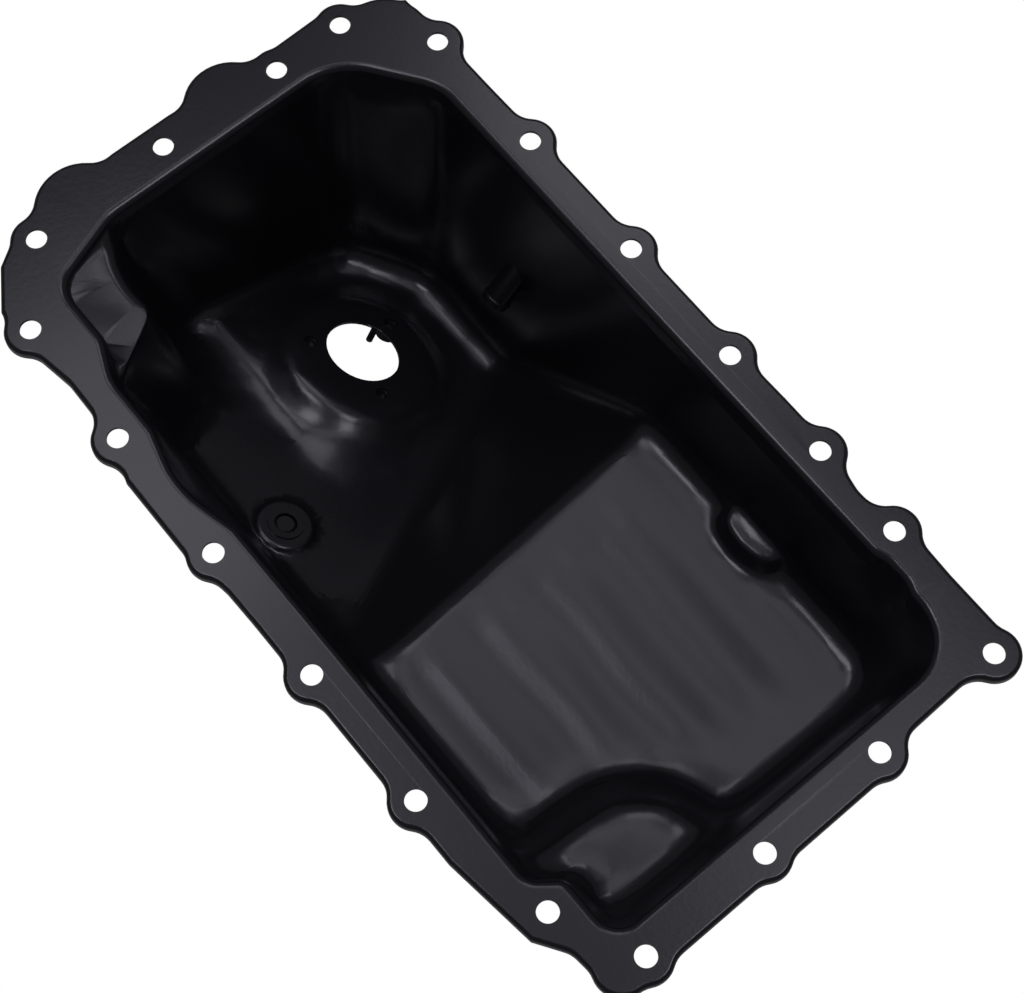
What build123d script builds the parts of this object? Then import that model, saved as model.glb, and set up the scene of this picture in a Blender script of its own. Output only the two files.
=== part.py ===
# Engine oil pan, pressed from one steel sheet, with its weld nuts, drain fitting and dipstick socket.
# Millimetres. Z = 0 is the gasket face of the flange and +Z points at the engine.
# +X points at the shallow end. The origin is the centre of the four bolt holes at x = 63.9 either way.
import os
from math import acos, atan2, cos, hypot, radians, sin, tan

from build123d import *

# Sheet and flange
sheet = 1.5
lip_height = 4.5
lip_bend = 2.0
mouth_bend = 4.0
hole_radius = 4.5
ear_radius = 11.2
ear_blend = 11.0
bolt_holes = [
    (-159.4, 79.5), (-126.4, 106.7), (-63.9, 106.8), (1.6, 106.9), (63.9, 106.8),
    (118.3, 107.2), (162.3, 107.0), (224.0, 102.7), (225.3, 42.0), (227.0, -17.6),
    (228.4, -77.2), (192.7, -94.8), (128.3, -106.5), (63.9, -106.8), (-0.4, -106.3),
    (-63.9, -106.8), (-125.5, -106.2), (-157.8, -80.5), (-159.7, -14.1), (-159.0, 45.1),
]
flange_lobes = [(-159.0, 20.5, 20.2), (-158.5, -56.5, 20.7), (-142.0, 90.0, 20.6), (225.5, -86.5, 11.5)]
flange_edge = [
    (-152.0, 109.5), (-126.4, 110.5), (-95.0, 110.6), (-62.7, 111.2), (65.0, 111.3), (92.0, 111.9),
    (118.3, 111.9), (140.0, 107.8), (162.3, 108.0), (173.0, 112.6), (190.0, 111.9), (224.0, 111.9),
    (225.4, 86.0), (226.6, 60.0), (227.0, 42.0), (233.6, 38.0), (234.9, -17.0), (236.1, -77.0),
    (228.4, -77.2), (223.0, -96.4), (210.0, -97.7), (197.0, -106.4), (155.0, -111.8), (95.0, -111.7),
    (32.0, -111.6), (16.0, -111.9), (-10.0, -115.4), (-47.0, -115.2), (-66.0, -108.6), (-96.0, -108.0),
    (-113.0, -110.8), (-125.5, -110.0), (-140.0, -110.9), (-157.0, -99.4), (-166.0, -86.0),
    (-167.0, -60.0), (-171.1, -33.0), (-171.0, -3.0), (-168.6, 20.0), (-168.8, 45.0), (-169.6, 79.5),
    (-160.0, 92.0),
]

# Mouth: corners of the opening at the flange with their radii, counter-clockwise from above
mouth = [
    (213.2, 95.1, 24), (186.0, 95.0, 9), (181.0, 97.2, 10), (169.5, 97.0, 10), (164.0, 95.0, 9),
    (-109.2, 94.0, 22), (-147.4, 66.6, 33), (-147.4, -50.5, 16), (-134.5, -86.1, 13.5),
    (-104.0, -86.2, 14), (-86.0, -94.0, 22), (-58.7, -94.0, 20), (-32.5, -101.0, 48),
    (-3.0, -93.9, 20), (179.2, -93.9, 9.5), (187.8, -82.5, 7), (216.9, -82.4, 11),
]
collar_depth = 24.0
collar_draft = 20.0
bulge = [(-80.0, -88.3, 20), (-32.5, -101.0, 48), (15.0, -89.6, 20), (-32.5, -30.0, 20)]
bulge_depth = 38.0

# Drawn walls: mouth line from and to, and the draft in degrees
walls = [
    ((213.0, 92.8), (-107.0, 92.8), 6.0),
    ((-107.0, 92.8), (-145.6, 63.0), 6.0),
    ((-145.6, 63.0), (-145.6, -92.3), 4.0),
    ((-145.6, -92.3), (213.0, -92.3), 9.0),
    ((213.0, -92.3), (211.5, 92.8), 12.0),
]
corner_radius = 22.0
foot_radius = 13.0

# Floors: the level tray, the ramp down from it and the sloping floor of the sump
tray_depth = 69.0
ramp_angle = 42.0
crest = [(57.0, -80.0), (46.0, 77.0)]
crest_radius = 14.0
valley_radius = 24.0
slope_angle = 21.8
slope_line = -80.0
slope_drop = 19.0

# Sensor port on its own flat disc, tilted toward +Y
port_place = (-80.2, 21.0)
port_drop = 51.0
port_tilt = 28.2
port_radius = 17.65
port_disc_radius = 38.0
port_disc_shift = (2.0, -2.0)
port_disc_draft = 32.0
port_disc_rim = 7.0
tab_angle = 120.0
tab_tip_radius = 8.3
tab_width = 3.1
tab_coin = 0.4
nut_circle_radius = 25.0
nut_angles = [-18.5, -127.5, 107.0]
nut_outer_radius = 5.4
nut_height = 6.0
nut_bore_radius = 2.5
nut_hole_radius = 3.2

# Drain fitting on a raised round pad of the sump's slope, with its plug
drain_place = (-25.0, -63.6)
drain_pad_radius = 12.5
drain_pad_rise = 3.0
drain_pad_draft = 35.0
drain_pad_rim = 2.5
drain_neck_radius = 8.0
drain_neck_rise = 0.8
drain_boss_radius = 10.2
drain_boss_height = 8.0
drain_bore_radius = 5.1
plug_radius = 5.0
plug_tip_radius = 3.8
plug_tip_rise = 0.4
plug_flange_radius = 9.5
plug_flange = 2.5
plug_flats = 15.0
plug_head = 7.0

# Dipstick socket: a tube through the +Y wall that points down into the sump
socket_x = -49.3
socket_depth = 78.0
socket_angle = 43.8
socket_radius = 6.3
socket_bore_radius = 5.1
socket_inside = 15.0
socket_outside = 20.0
socket_bead_radius = 6.95
socket_bead_width = 1.8
socket_bead_from_tip = 2.0
socket_fit = 0.05

# Ledge, plateau and pad that stand up inside the pan: top corners, depth of the top, draft, rim
ledge = [(-200, -150, 5), (-57.7, -150, 5), (-104.5, -61.5, 8), (-124.0, -63.0, 45), (-150.0, -51.0, 8),
         (-200, -45, 5)]
ledge_depth = 5.0
ledge_draft = 8.0
ledge_rim = 6.0
ledge_facet = [(-103.1, -85.0), (-110.0, -64.8)]
ledge_facet_angle = 20.0
plateau = [(166.0, -150, 5), (260, -150, 5), (260, -15.0, 5), (169.0, -26.0, 30)]
plateau_depth = 33.0
plateau_draft = 27.0
plateau_rim = 13.0
plateau_foot = 12.0
pad = [(100.0, 130, 5), (100.0, 75.0, 7), (128.0, 75.0, 10), (138.0, 130, 5)]
pad_depth = 60.0
pad_draft = 28.0
pad_rim = 4.0
pad_foot = 6.0

# Low shelf across the sump's slope beside the port's disc; corners on the slope, from x = y = 0
shelf = [(-170, -26.9, 5), (-37.0, -26.9, 18), (-37.0, 13.0, 10), (-170, 13.0, 5)]
shelf_height = 3.5
shelf_draft = 58.0
shelf_rim = 9.0

# Where the mouth steps in from the drawn walls
step_draft = 8.0
step_reach = 5.0
ledge_step = [(-200, -150, 5), (-82, -150, 5), (-82, -93.9, 3), (-104, -84.4, 12), (-133, -84.3, 10),
              (-146, -48, 10), (-200, -47, 5)]
plateau_step = [(176.5, -150, 5), (260, -150, 5), (260, -78.9, 5), (187.5, -78.9, 7), (176.8, -93.5, 4)]


def rounded(corners):
    """Closed face of straight lines and tangent arcs round corners (x, y, radius)."""
    turns = []
    for i, (x, y, radius) in enumerate(corners):
        before, after = corners[i - 1], corners[(i + 1) % len(corners)]
        ax, ay = before[0] - x, before[1] - y
        bx, by = after[0] - x, after[1] - y
        a, b = hypot(ax, ay), hypot(bx, by)
        ax, ay, bx, by = ax / a, ay / a, bx / b, by / b
        half = acos(ax * bx + ay * by) / 2
        reach, gap = radius / tan(half), radius / sin(half) - radius
        mx, my = ax + bx, ay + by
        m = hypot(mx, my)
        turns.append((
            (x + ax * reach, y + ay * reach),
            (x + mx / m * gap, y + my / m * gap),
            (x + bx * reach, y + by * reach),
        ))
    edges = []
    for i, (start, middle, end) in enumerate(turns):
        edges.append(ThreePointArc(start, middle, end))
        edges.append(Line(end, turns[(i + 1) % len(turns)][0]))
    return make_face(Wire(edges))


def moved(corners, distance):
    """The same counter-clockwise corners with every side moved out by a distance."""
    out = []
    for i, (x, y, radius) in enumerate(corners):
        before, after = corners[i - 1], corners[(i + 1) % len(corners)]
        ax, ay = x - before[0], y - before[1]
        bx, by = after[0] - x, after[1] - y
        a, b = hypot(ax, ay), hypot(bx, by)
        ax, ay, bx, by = ax / a, ay / a, bx / b, by / b
        turn = ax * by - ay * bx
        stretch = distance / (1 + ax * bx + ay * by)
        bend = distance if turn > 0 else -distance
        out.append((x + (ay + by) * stretch, y - (ax + bx) * stretch, radius + bend))
    return out


def below(solid, point, outward, grow):
    """The part of a solid inside the plane through point, moved out by grow."""
    normal = Vector(*outward).normalized()
    return split(solid, Plane(origin=Vector(*point) + normal * grow, z_dir=normal), keep=Keep.BOTTOM)


def drawn_space(grow):
    """Space between the drawn walls, over the tray floor, the ramp and the sump's slope."""
    floor = -tray_depth
    space = Pos(0, 0, 2 * floor) * Box(800, 500, -4 * floor)
    for (x0, y0), (x1, y1), draft in walls:
        length = hypot(x1 - x0, y1 - y0)
        side = cos(radians(draft)) / length
        outward = ((y1 - y0) * side, (x0 - x1) * side, -sin(radians(draft)))
        space = below(space, (x0, y0, 0), outward, grow)
    tray = below(space, (0, 0, floor), (0, 0, -1), grow)
    tilt = radians(slope_angle)
    sump = below(space, (0, slope_line, floor - slope_drop), (0, -sin(tilt), -cos(tilt)), grow)
    (x0, y0), (x1, y1) = crest
    turn, rise = atan2(x0 - x1, y1 - y0), radians(ramp_angle)
    outward = (sin(rise) * cos(turn), sin(rise) * sin(turn), -cos(rise))
    sump = below(sump, (x0, y0, floor), outward, grow)
    space = tray + sump

    upright = [e for e in space.edges() if max(ends(e)) > -1e-3 and min(ends(e)) < floor / 2]
    space = fillet(upright, corner_radius + grow)
    deepest = space.bounding_box().min.Z
    end_wall = walls[0][0][0]
    top_edge = [e for e in across(space) if max(abs(z - floor + grow) for z in ends(e)) < 0.01
                and (e @ 0.5).X < end_wall + floor]
    space = fillet(top_edge, crest_radius - grow)
    low_edge = [e for e in across(space) if min(ends(e)) < deepest + 2 and (e @ 0.5).X > -end_wall / 3]
    space = fillet(low_edge, valley_radius + grow)
    foot = [e for e in between(space) if (e @ 0.5).Z < floor / 2]
    return fillet(foot, foot_radius + grow)


def ends(edge):
    """Heights of an edge's two ends."""
    return (edge @ 0).Z, (edge @ 1).Z


def across(solid):
    """Long edges that run across the pan and not along it."""
    width = walls[0][0][1] - walls[3][0][1]
    return [e for e in solid.edges() if abs((e @ 0).Y - (e @ 1).Y) > 0.6 * width]


def between(solid):
    """Edges where a steep face meets a flatter one."""
    steep, flat = [], []
    for face in solid.faces():
        (steep if abs(face.normal_at(face.center()).Z) < 0.45 else flat).extend(face.edges())
    return [e for e in steep if any(e.is_same(other) for other in flat)]


def drafted(corners, depth, height, draft):
    """Block from a rounded outline at a depth down by a height, its sides spreading by draft."""
    low = moved(corners, height * tan(radians(draft)))
    outlines = [Pos(0, 0, -depth) * rounded(corners), Pos(0, 0, -depth - height) * rounded(low)]
    return loft(outlines, ruled=True)


def lump(corners, depth, height, draft, rim, grow):
    """Block that stands up inside the pan, with a rounded rim; grow takes the sheet off it."""
    lean = radians(draft)
    inset = grow * (1 - sin(lean)) / cos(lean)
    block = drafted(moved(corners, -inset), depth + grow, height, draft)
    if rim:
        block = fillet(block.faces().sort_by(Axis.Z)[-1].edges(), rim - grow)
    return block


def ledge_block(grow):
    """Ledge at the mouth's corner; its free side falls away in a flat facet before the drop."""
    (x0, y0), (x1, y1) = ledge_facet
    lean, length = radians(ledge_facet_angle), hypot(x1 - x0, y1 - y0)
    outward = ((y1 - y0) / length * sin(lean), (x0 - x1) / length * sin(lean), cos(lean))
    block = lump(ledge, ledge_depth, 2 * tray_depth, ledge_draft, ledge_rim, grow)
    return below(block, (x0, y0, -ledge_depth), outward, -grow)


def shelf_block(grow):
    return slope_plane(0, 0, shelf_height).location * lump(
        shelf, 0, 3 * shelf_height, shelf_draft, shelf_rim, grow)


def raised(space, block, floor, radius):
    """Takes a block out of the space and rounds its foot, the edge it leaves on the floor plane."""
    space -= block

    def on_foot(point):
        return abs((point - floor.origin).dot(floor.z_dir)) < 0.02 and block.distance_to(Vertex(*point)) < 0.02

    foot = [e for e in space.edges() if all(on_foot(e @ t) for t in (0.2, 0.5, 0.8))]
    return fillet(foot, radius)


def port_plane(shift=0.0):
    """Plane of the sensor port's inner face, moved out through the sheet by shift."""
    tilt = radians(port_tilt)
    normal = Vector(0, sin(tilt), cos(tilt))
    centre = Vector(*port_place, -tray_depth - port_drop)
    return Plane(origin=centre - normal * shift, x_dir=(1, 0, 0), z_dir=normal)


def port_disc(grow):
    lean = radians(port_disc_draft)
    radius = port_disc_radius - grow * (1 - sin(lean)) / cos(lean)
    disc = extrude(Pos(*port_disc_shift) * Circle(radius), -60, taper=-port_disc_draft)
    disc = fillet(disc.faces().sort_by(Axis.Z)[-1].edges(), port_disc_rim - grow)
    return port_plane(grow).location * disc


def inside(grow):
    """Space inside the pan, or with grow = sheet the shape of its outside."""
    tray = Plane((0, 0, -tray_depth - grow))
    space = drawn_space(grow)
    space -= shelf_block(grow)
    space -= port_disc(grow)
    tread = lump(plateau, plateau_depth, tray_depth, plateau_draft, plateau_rim, grow)
    space = raised(space, tread, tray, plateau_foot + grow)
    space = raised(space, lump(pad, pad_depth, tray_depth, pad_draft, pad_rim, grow), tray, pad_foot + grow)
    reach = step_reach - 2 * grow
    space -= lump(ledge_step, 0, ledge_depth + reach, step_draft, 0, grow)
    space -= lump(plateau_step, 0, plateau_depth + reach, step_draft, 0, grow)
    out = grow / cos(radians(collar_draft))
    space += drafted(moved(mouth, out), 0, collar_depth, -collar_draft)
    space += drafted(moved(bulge, out), 0, bulge_depth, -collar_draft)
    space -= ledge_block(grow)
    space -= drain_pad(grow)
    return space


def flange():
    """Flange plate with an ear round every bolt hole and its lip turned down."""
    outline = make_face(Polyline(*flange_edge, close=True))
    for x, y in bolt_holes:
        outline += Pos(x, y) * Circle(ear_radius)
    for x, y, radius in flange_lobes:
        outline += Pos(x, y) * Circle(radius)
    outline = offset(offset(outline, ear_blend, kind=Kind.ARC), -ear_blend, kind=Kind.ARC)
    plate = extrude(outline, -lip_height)
    hollow = offset(outline, -sheet, kind=Kind.ARC)
    plate -= Pos(0, 0, -sheet) * extrude(hollow, -lip_height)
    top = plate.faces().sort_by(Axis.Z)[-1]
    return fillet(top.outer_wire().edges(), lip_bend)


def slope_plane(x, y, rise=0.0):
    """Plane on the sump's slope at x, y, raised into the pan by rise."""
    tilt = radians(slope_angle)
    normal = Vector(0, sin(tilt), cos(tilt))
    z = -tray_depth - slope_drop - (y - slope_line) * tan(tilt)
    return Plane(origin=Vector(x, y, z) + normal * rise, x_dir=(1, 0, 0), z_dir=normal)


def drain_plane(rise=0.0):
    """Plane of the drain pad's inner face; rise is measured from it into the pan."""
    return slope_plane(*drain_place, drain_pad_rise + rise)


def drain_pad(grow):
    lean = radians(drain_pad_draft)
    radius = drain_pad_radius - grow * (1 - sin(lean)) / cos(lean)
    disc = extrude(Circle(radius), -20, taper=-drain_pad_draft)
    disc = fillet(disc.faces().sort_by(Axis.Z)[-1].edges(), drain_pad_rim - grow)
    return drain_plane(-grow).location * disc


def socket_plane():
    """Plane across the dipstick socket where its axis meets the wall, facing into the pan."""
    (_, y0), _, draft = walls[0]
    tilt = radians(socket_angle)
    root = (socket_x, y0 - socket_depth * tan(radians(draft)), -socket_depth)
    return Plane(origin=root, x_dir=(1, 0, 0), z_dir=(0, -cos(tilt), -sin(tilt)))


def bend_mouth(pan, depth, radius):
    """Rounds the edge where the flange's face at a depth turns down into the mouth."""
    level = [f for f in pan.faces() if abs(f.center().Z + depth) < 0.01 and f.area > ear_radius * ear_radius]
    rings = max(level, key=lambda f: f.area).inner_wires()
    return fillet(max(rings, key=lambda w: w.length).edges(), radius)


def oil_pan():
    """The pressed pan: flange, drawn walls and floors of one sheet, with its holes."""
    pan = flange() + inside(sheet)
    pan -= inside(0)
    pan = bend_mouth(pan, 0, mouth_bend)
    pan = bend_mouth(pan, sheet, mouth_bend - sheet)
    for x, y in bolt_holes:
        pan -= Pos(x, y) * Cylinder(hole_radius, 4 * lip_height)
    through = Cylinder(port_radius, 8 * sheet) - tab()
    for angle in nut_angles:
        through += Rot(0, 0, angle) * Pos(nut_circle_radius, 0) * Cylinder(nut_hole_radius, 8 * sheet)
    pan -= port_plane().location * through
    pan -= drain_plane().location * Cylinder(drain_neck_radius, 8 * sheet)
    pan -= socket_plane().location * Cylinder(socket_radius + socket_fit, 18 * sheet)
    return pan


def tab():
    """Stretch of the port's edge that stays as a tab, coined below the seat face."""
    reach = port_radius - tab_tip_radius
    body = Pos(tab_tip_radius + tab_width / 2, 0) * Circle(tab_width / 2)
    body += Pos(tab_tip_radius + tab_width / 2 + reach / 2, 0) * Rectangle(reach, tab_width)
    return Rot(0, 0, tab_angle) * Pos(0, 0, -tab_coin) * extrude(body, -4 * sheet)


def weld_nut(angle):
    """Round weld nut on the outside of the port's disc."""
    nut = Cylinder(nut_outer_radius, nut_height, align=(Align.CENTER, Align.CENTER, Align.MAX))
    nut = chamfer(nut.faces().sort_by(Axis.Z)[0].edges(), 0.6)
    nut -= Cylinder(nut_bore_radius, 4 * nut_height)
    return port_plane(sheet).location * (Rot(0, 0, angle) * Pos(nut_circle_radius, 0) * nut)


def drain_boss():
    """Threaded boss welded outside, its neck through the pad and just proud of it inside."""
    neck = Pos(0, 0, drain_neck_rise) * Cylinder(
        drain_neck_radius - socket_fit, sheet + drain_neck_rise, align=(Align.CENTER, Align.CENTER, Align.MAX))
    body = Pos(0, 0, -sheet) * Cylinder(
        drain_boss_radius, drain_boss_height, align=(Align.CENTER, Align.CENTER, Align.MAX))
    body = chamfer(body.faces().sort_by(Axis.Z)[0].outer_wire().edges(), 1.0)
    boss = neck + body - Cylinder(drain_bore_radius, 6 * drain_boss_height)
    return drain_plane().location * boss


def drain_plug():
    """Hex plug with its flange on the boss and its tip in the boss's inner end."""
    face = -sheet - drain_boss_height
    length = plug_tip_rise - face
    shank = Pos(0, 0, plug_tip_rise) * Cylinder(plug_radius, length, align=(Align.CENTER, Align.CENTER, Align.MAX))
    shank = chamfer(shank.faces().sort_by(Axis.Z)[-1].edges(), plug_radius - plug_tip_radius)
    rim = Pos(0, 0, face) * Cylinder(plug_flange_radius, plug_flange, align=(Align.CENTER, Align.CENTER, Align.MAX))
    hexagon = RegularPolygon(plug_flats / 2, 6, major_radius=False)
    head = Pos(0, 0, face - plug_flange) * extrude(hexagon, -plug_head)
    return drain_plane().location * (shank + rim + head)


def dipstick_socket():
    """Brazed tube through the wall with a bead near its inner end."""
    low = (Align.CENTER, Align.CENTER, Align.MIN)
    tube = Pos(0, 0, -socket_outside) * Cylinder(socket_radius, socket_inside + socket_outside, align=low)
    bead_at = socket_inside - socket_bead_from_tip - socket_bead_width
    bead = Pos(0, 0, bead_at) * Cylinder(socket_bead_radius, socket_bead_width, align=low)
    bead = fillet(bead.edges().filter_by(GeomType.CIRCLE), 0.4 * socket_bead_width)
    tube = tube + bead - Cylinder(socket_bore_radius, 4 * socket_outside)
    return socket_plane().location * tube


parts = {
    "oil_pan": oil_pan(),
    "drain_boss": drain_boss(),
    "drain_plug": drain_plug(),
    "dipstick_socket": dipstick_socket(),
}
for number, angle in enumerate(nut_angles, 1):
    parts[f"weld_nut_{number}"] = weld_nut(angle)

os.makedirs("parts", exist_ok=True)
for name, solid in parts.items():
    export_step(solid, f"parts/{name}.step")
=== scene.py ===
from math import pi, radians
import bmesh
import bpy
from mathutils import Matrix, Vector

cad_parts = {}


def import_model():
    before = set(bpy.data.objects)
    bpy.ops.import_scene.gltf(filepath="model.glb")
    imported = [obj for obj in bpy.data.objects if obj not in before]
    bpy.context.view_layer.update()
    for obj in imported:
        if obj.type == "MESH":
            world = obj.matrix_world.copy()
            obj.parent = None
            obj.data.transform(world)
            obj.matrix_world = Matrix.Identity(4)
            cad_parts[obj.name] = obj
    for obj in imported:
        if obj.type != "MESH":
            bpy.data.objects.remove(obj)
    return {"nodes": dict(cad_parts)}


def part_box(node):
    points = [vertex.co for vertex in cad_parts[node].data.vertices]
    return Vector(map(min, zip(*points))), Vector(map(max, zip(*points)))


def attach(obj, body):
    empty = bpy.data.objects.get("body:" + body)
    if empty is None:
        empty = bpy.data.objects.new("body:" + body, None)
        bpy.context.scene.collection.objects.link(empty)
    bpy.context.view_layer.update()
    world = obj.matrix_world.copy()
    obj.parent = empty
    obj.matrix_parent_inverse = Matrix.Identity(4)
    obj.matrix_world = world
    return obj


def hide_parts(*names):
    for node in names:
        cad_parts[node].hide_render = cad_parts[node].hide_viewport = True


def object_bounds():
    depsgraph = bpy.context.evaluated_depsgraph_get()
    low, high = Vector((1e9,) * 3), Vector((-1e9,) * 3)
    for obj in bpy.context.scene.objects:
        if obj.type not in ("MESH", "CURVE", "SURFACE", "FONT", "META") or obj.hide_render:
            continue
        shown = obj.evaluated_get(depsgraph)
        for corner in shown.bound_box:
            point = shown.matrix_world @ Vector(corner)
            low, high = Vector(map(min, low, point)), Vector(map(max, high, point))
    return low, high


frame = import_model()
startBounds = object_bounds()


nodeSpacing = 180  # between shader nodes in the editor


# Node tree helper; sockets take arithmetic through Value
class Shade:
    def __init__(self, name):
        self.material = bpy.data.materials.new(name)
        self.material.use_nodes = True
        self.tree = self.material.node_tree
        self.tree.nodes.clear()
        self.place = 0

    def node(self, kind, inputs=None, out=0, **settings):
        made = self.tree.nodes.new(kind)
        self.place += 1
        made.location = (nodeSpacing * self.place, 0)
        for key, value in settings.items():
            setattr(made, key, value)
        for key, value in (inputs or {}).items():
            socket = made.inputs[key]
            if isinstance(value, Value):
                self.tree.links.new(value.socket, socket)
            else:
                socket.default_value = value
        return Value(self, made.outputs[out]) if made.outputs else made

    def split(self, coords):
        made = self.node("ShaderNodeSeparateXYZ", {"Vector": coords}).socket.node
        return [Value(self, socket) for socket in made.outputs]


class Value:
    def __init__(self, shade, socket):
        self.shade, self.socket = shade, socket

    def math(self, operation, other=None, swap=False):
        pair = (other, self) if swap else (self, other)
        inputs = {i: value for i, value in enumerate(pair) if value is not None}
        return self.shade.node("ShaderNodeMath", inputs, operation=operation)

    def __add__(self, other):
        return self.math("ADD", other)

    def __sub__(self, other):
        return self.math("SUBTRACT", other)

    def __rsub__(self, other):
        return self.math("SUBTRACT", other, swap=True)

    def __mul__(self, other):
        return self.math("MULTIPLY", other)

    def clamped(self):
        return self.shade.node("ShaderNodeClamp", {"Value": self})


noiseMiddle = 0.5  # the value that a noise texture swings about


def noise(shade, coords, scale, detail):
    inputs = {"Vector": coords, "Scale": scale, "Detail": detail, "Roughness": 0.5}
    return shade.node("ShaderNodeTexNoise", inputs)


# Shallow waves across the level tray, only as a bump in the coat; lengths in metres, driftScale per metre
swell = {
    "pitch": 0.031, "crest": 0.002, "height": 0.0006,
    "fromX": 0.055, "toX": 0.178, "fromY": -0.076, "toY": 0.070, "fade": 0.020,
    "top": -0.062, "bottom": -0.074, "levelFade": 0.002,
    "drift": 0.010, "driftScale": 14.0, "driftDetail": 1.0,
}


def between(value, low, high, fade):
    up = ((value - low) * (1 / fade)).clamped()
    down = ((high - value) * (1 / fade)).clamped()
    return up * down


def traySwell(shade, coords):
    x, y, z = shade.split(coords)
    sway = noise(shade, coords, swell["driftScale"], swell["driftDetail"]) - noiseMiddle
    wave = ((y + sway * swell["drift"] - swell["crest"]) * (2 * pi / swell["pitch"])).math("SINE")
    along = between(x, swell["fromX"], swell["toX"], swell["fade"])
    across = between(y, swell["fromY"], swell["toY"], swell["fade"])
    level = between(z, swell["bottom"], swell["top"], swell["levelFade"])
    return wave * (along * across * level)


# Baked black coats; peel is the height of their orange peel in metres
panLook = {
    "dark": (0.0082, 0.0076, 0.0098, 1), "light": (0.0125, 0.0117, 0.0148, 1),
    "rough": 0.29, "roughSpread": 0.07, "peel": 0.00005, "peelScale": 420.0,
    "coat": 0.35, "coatRough": 0.16, "tint": (0.89, 0.87, 1.0, 1),
}
plugLook = {
    "dark": (0.008, 0.008, 0.009, 1), "light": (0.016, 0.016, 0.018, 1),
    "rough": 0.36, "roughSpread": 0.10, "peel": 0.00003, "peelScale": 700.0,
    "coat": 0.1, "coatRough": 0.3, "tint": (0.95, 0.93, 1.0, 1),
}
# Grain that both coats share: slow changes of tone and gloss, and fine specks
grain = {
    "slowScale": 9.0, "slowDetail": 3.0, "slowShare": 0.6,
    "speckScale": 1600.0, "speckShare": 0.4, "fineDetail": 2.0, "ior": 1.5,
}


def paint(name, s, swells=False):
    shade = Shade(name)
    coords = shade.node("ShaderNodeTexCoord", out="Object")
    slow = noise(shade, coords, grain["slowScale"], grain["slowDetail"])
    fine = noise(shade, coords, s["peelScale"], grain["fineDetail"])
    speck = noise(shade, coords, grain["speckScale"], grain["fineDetail"])
    tone = slow * grain["slowShare"] + speck * grain["speckShare"]
    mix = {0: tone, 6: s["dark"], 7: s["light"]}  # the mix node's factor and its two colours go in here
    colour = shade.node("ShaderNodeMix", mix, out=2, data_type="RGBA")  # and its colour comes out here
    rough = (slow - noiseMiddle) * s["roughSpread"] + s["rough"]
    height = fine * s["peel"]
    if swells:
        height = height + traySwell(shade, coords) * swell["height"]
    bump = shade.node("ShaderNodeBump", {"Height": height, "Strength": 1.0, "Distance": 1.0})
    surface = shade.node("ShaderNodeBsdfPrincipled", {
        "Base Color": colour, "Roughness": rough, "Normal": bump, "Coat Weight": s["coat"],
        "Coat Roughness": s["coatRough"], "Specular Tint": s["tint"], "Coat Tint": s["tint"],
        "IOR": grain["ior"]})
    shade.node("ShaderNodeOutputMaterial", {"Surface": surface})
    return shade.material


coat = paint("panCoat", panLook, swells=True)
plugCoat = paint("plugCoat", plugLook)
for node, piece in frame["nodes"].items():
    piece.data.materials.clear()
    piece.data.materials.append(plugCoat if node == "drain_plug" else coat)
print("materials", len(frame["nodes"]))


# The drawn sheet: a finer copy of the pan whose steps and rims are softened as a press leaves them.
# Lengths are metres, flatTurn is radians and sharp is degrees.
skin = {
    "weld": 0.000005, "longEdge": 0.006, "passes": 7, "flatTurn": 0.03,
    "rounds": 22, "pull": 0.5, "rim": -0.009,
    "port": (-0.0802, 0.021, -0.120), "portReach": 0.031,
    "sharp": 38.0, "largeFaceWeight": 80,
}


# Round the port and every welded or screwed piece the sheet keeps its shape
def keptZones():
    zones = [(Vector(skin["port"]), skin["portReach"])]
    for node in frame["nodes"]:
        if node != "oil_pan":
            low, high = (Vector(corner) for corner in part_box(node))
            zones.append(((low + high) / 2, (high - low).length / 2))
    return zones


def refine(build, free):
    for turn in range(skin["passes"]):
        flat = [e for e in build.edges if e.calc_face_angle(pi) < skin["flatTurn"]]
        bmesh.ops.beautify_fill(build, faces=build.faces, edges=flat)
        loose = [e for e in build.edges if any(free(v) for v in e.verts)]
        long = [e for e in loose if e.calc_length() > skin["longEdge"]]
        if not long:
            break
        bmesh.ops.subdivide_edges(build, edges=long, cuts=1)
        bmesh.ops.triangulate(build, faces=[f for f in build.faces if len(f.verts) > 3])


def drawnSheet():
    zones = keptZones()

    def free(vert):
        outside = all((vert.co - centre).length > reach for centre, reach in zones)
        return vert.co.z < skin["rim"] and outside

    build = bmesh.new()
    build.from_mesh(frame["nodes"]["oil_pan"].data)
    bmesh.ops.remove_doubles(build, verts=build.verts, dist=skin["weld"])
    refine(build, free)
    loose = [v for v in build.verts if free(v)]
    allAxes = {"use_axis_x": True, "use_axis_y": True, "use_axis_z": True}
    for turn in range(skin["rounds"]):
        bmesh.ops.smooth_vert(build, verts=loose, factor=skin["pull"], **allAxes)
    print("drawn sheet", len(build.verts), len(build.faces))
    return build


def finishPiece(name, build, material):
    mesh = bpy.data.meshes.new(name)
    build.to_mesh(mesh)
    build.free()
    mesh.materials.append(material)
    mesh.shade_smooth()
    mesh.set_sharp_from_angle(angle=radians(skin["sharp"]))
    piece = bpy.data.objects.new(name, mesh)
    bpy.context.scene.collection.objects.link(piece)
    even = piece.modifiers.new("evenShading", "WEIGHTED_NORMAL")
    even.keep_sharp = True
    even.weight = skin["largeFaceWeight"]
    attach(piece, "root")
    return piece


drawnPan = finishPiece("drawnPan", drawnSheet(), coat)
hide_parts("oil_pan")


# Pale floor under the part that the camera sees as plain white
floorLook = {"reach": 4.0, "gap": 0.012, "seen": (1, 1, 1, 1), "glow": 1.0, "lit": (0.8, 0.8, 0.8, 1)}


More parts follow.
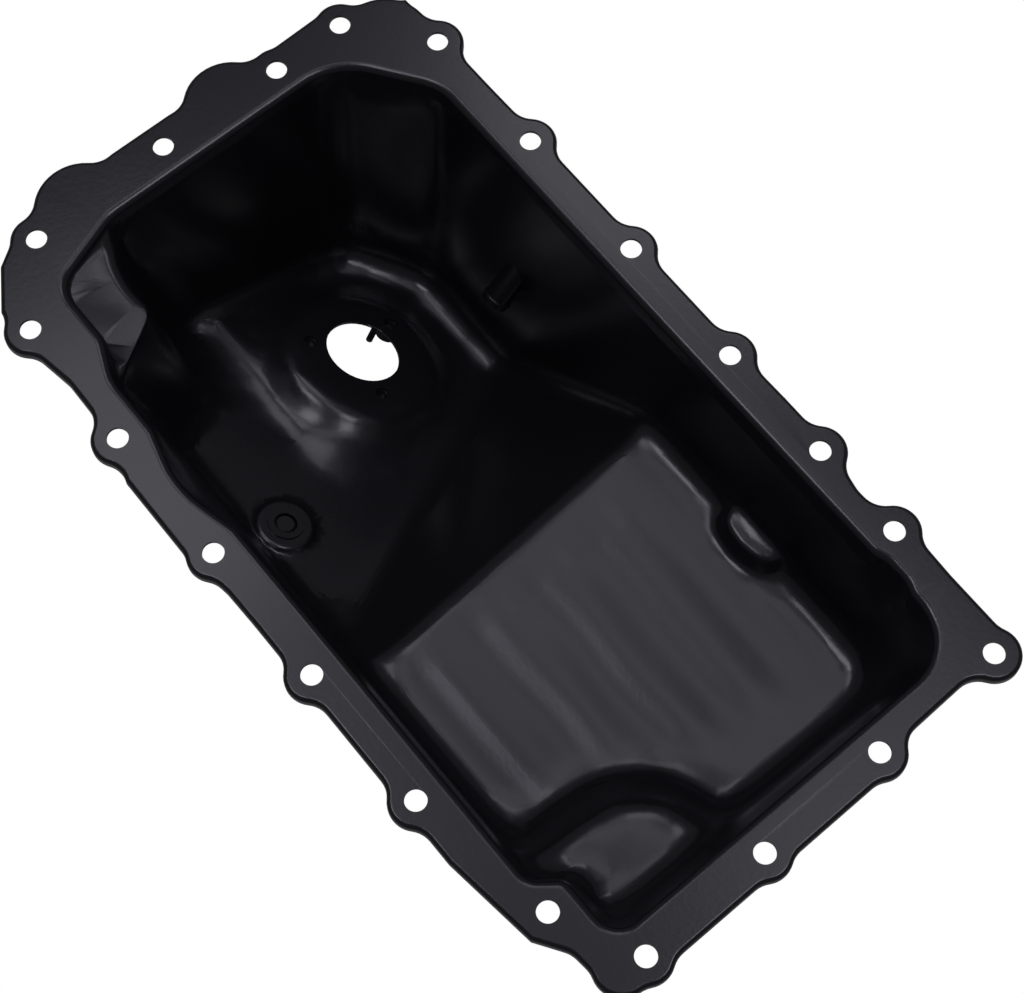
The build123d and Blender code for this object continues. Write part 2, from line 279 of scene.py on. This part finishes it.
def backdrop(bounds):
    low = min(corner[2] for corner in bounds)
    mesh = bpy.data.meshes.new("floor")
    reach = floorLook["reach"]
    corners = [(-reach, -reach, 0), (reach, -reach, 0), (reach, reach, 0), (-reach, reach, 0)]
    mesh.from_pydata(corners, [], [(0, 1, 2, 3)])
    floor = bpy.data.objects.new("floor", mesh)
    bpy.context.scene.collection.objects.link(floor)
    floor.location.z = low - floorLook["gap"]
    shade = Shade("floorWhite")
    seen = shade.node("ShaderNodeLightPath", out="Is Camera Ray")
    plain = shade.node("ShaderNodeBsdfDiffuse", {"Color": floorLook["lit"]})
    glow = {"Color": floorLook["seen"], "Strength": floorLook["glow"]}
    white = shade.node("ShaderNodeEmission", glow)
    mixed = shade.node("ShaderNodeMixShader", {0: seen, 1: plain, 2: white})
    shade.node("ShaderNodeOutputMaterial", {"Surface": mixed})
    mesh.materials.append(shade.material)


# Soft boxes above and round the pan: places and sizes in metres, power in watts
lampAim = (0.0, 0.0, -0.05)
lamps = {
    "overheadBox": {"place": (-0.25, -0.28, 1.30), "size": (0.36, 0.36), "power": 1.75},
    "nearBox": {"place": (-0.60, 0.05, 1.30), "size": (0.34, 0.34), "power": 0.78},
    "middleBox": {"place": (-0.04, 0.38, 1.30), "size": (0.84, 0.34), "power": 0.86},
    "farBox": {"place": (-0.55, 0.72, 1.30), "size": (0.50, 0.34), "power": 1.10},
    "endBox": {"place": (0.42, 0.25, 1.25), "size": (0.34, 0.34), "power": 1.50},
}


def softLight(name, lamp):
    data = bpy.data.lights.new(name, "AREA")
    data.shape = "RECTANGLE"
    data.size, data.size_y = lamp["size"]
    data.energy = lamp["power"]
    made = bpy.data.objects.new(name, data)
    bpy.context.scene.collection.objects.link(made)
    made.location = lamp["place"]
    aim = Vector(lampAim) - Vector(lamp["place"])
    made.rotation_euler = aim.to_track_quat("-Z", "Y").to_euler()


studio = {"colour": (1, 1, 1, 1), "strength": 0.095}


def world():
    made = bpy.data.worlds.new("studio")
    made.use_nodes = True
    sky = made.node_tree.nodes["Background"].inputs
    sky["Color"].default_value = studio["colour"]
    sky["Strength"].default_value = studio["strength"]
    bpy.context.scene.world = made


# Place and clip in metres, lens and sensor in millimetres; across and up are the picture's axes
camera = {
    "place": (0.33761, -0.221477, 0.913588),
    "across": (0.631188, 0.775597, -0.007169), "up": (-0.720466, 0.589694, 0.364952),
    "lens": 87.08, "sensor": 36.0, "farClip": 20.0,
}


def photoCamera():
    data = bpy.data.cameras.new("photoCamera")
    data.sensor_width = camera["sensor"]
    data.lens = camera["lens"]
    data.clip_end = camera["farClip"]
    made = bpy.data.objects.new("photoCamera", data)
    bpy.context.scene.collection.objects.link(made)
    across, up = Vector(camera["across"]), Vector(camera["up"])
    back = across.cross(up)
    turn = Matrix((across, up, back)).transposed().to_4x4()
    made.matrix_world = Matrix.Translation(camera["place"]) @ turn
    bpy.context.scene.camera = made


backdrop(startBounds)
for name, lamp in lamps.items():
    softLight(name, lamp)
world()
photoCamera()
bpy.context.scene.view_settings.view_transform = "Standard"
print("stage and camera")
